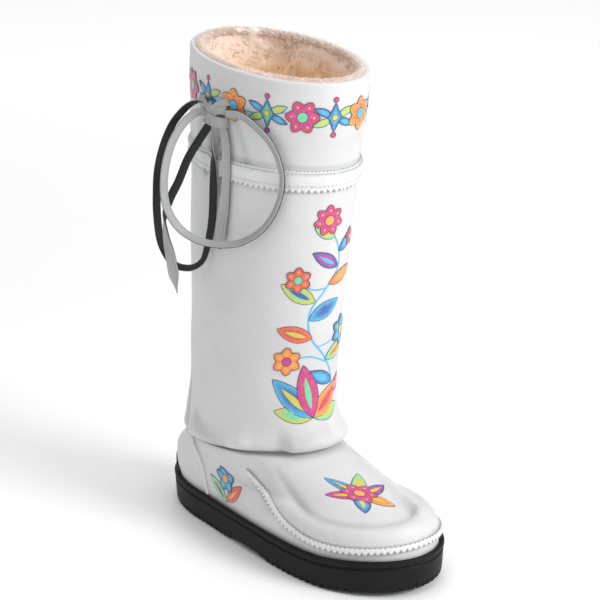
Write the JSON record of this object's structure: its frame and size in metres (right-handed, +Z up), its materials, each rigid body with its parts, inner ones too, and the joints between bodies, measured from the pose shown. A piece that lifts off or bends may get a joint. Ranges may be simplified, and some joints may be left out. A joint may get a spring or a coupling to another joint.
{
  "type": "mukluk boot",
  "caption": "Tall shearling-lined mukluk boot for the right foot, with a moulded rubber sole, standing empty and open at the collar.",
  "frame": {"origin": "on the floor, under the middle of the heel", "axes": "+X towards the toe, +Y towards the inner side of the foot, +Z up through the shaft"},
  "size_m": [0.2794, 0.1557, 0.388],
  "materials": {
    "white_leather": "smooth fine-grain white leather, soft satin sheen",
    "black_rubber": "matt black moulded rubber",
    "shearling": "golden tan sheepskin pile",
    "grey_lace": "flat light grey leather lace with a black back",
    "print": "bright printed colours on the leather"
  },
  "bodies": {
    "root": {"outsole": "black_rubber", "insole": "shearling", "upper": "white_leather", "seam_strip": "white_leather", "lace_knot": "grey_lace", "lace_loop_front": "grey_lace", "lace_loop_back": "grey_lace", "lace_tail_front": "grey_lace", "lace_tail_back": "grey_lace"}
  },
  "joints": []
}
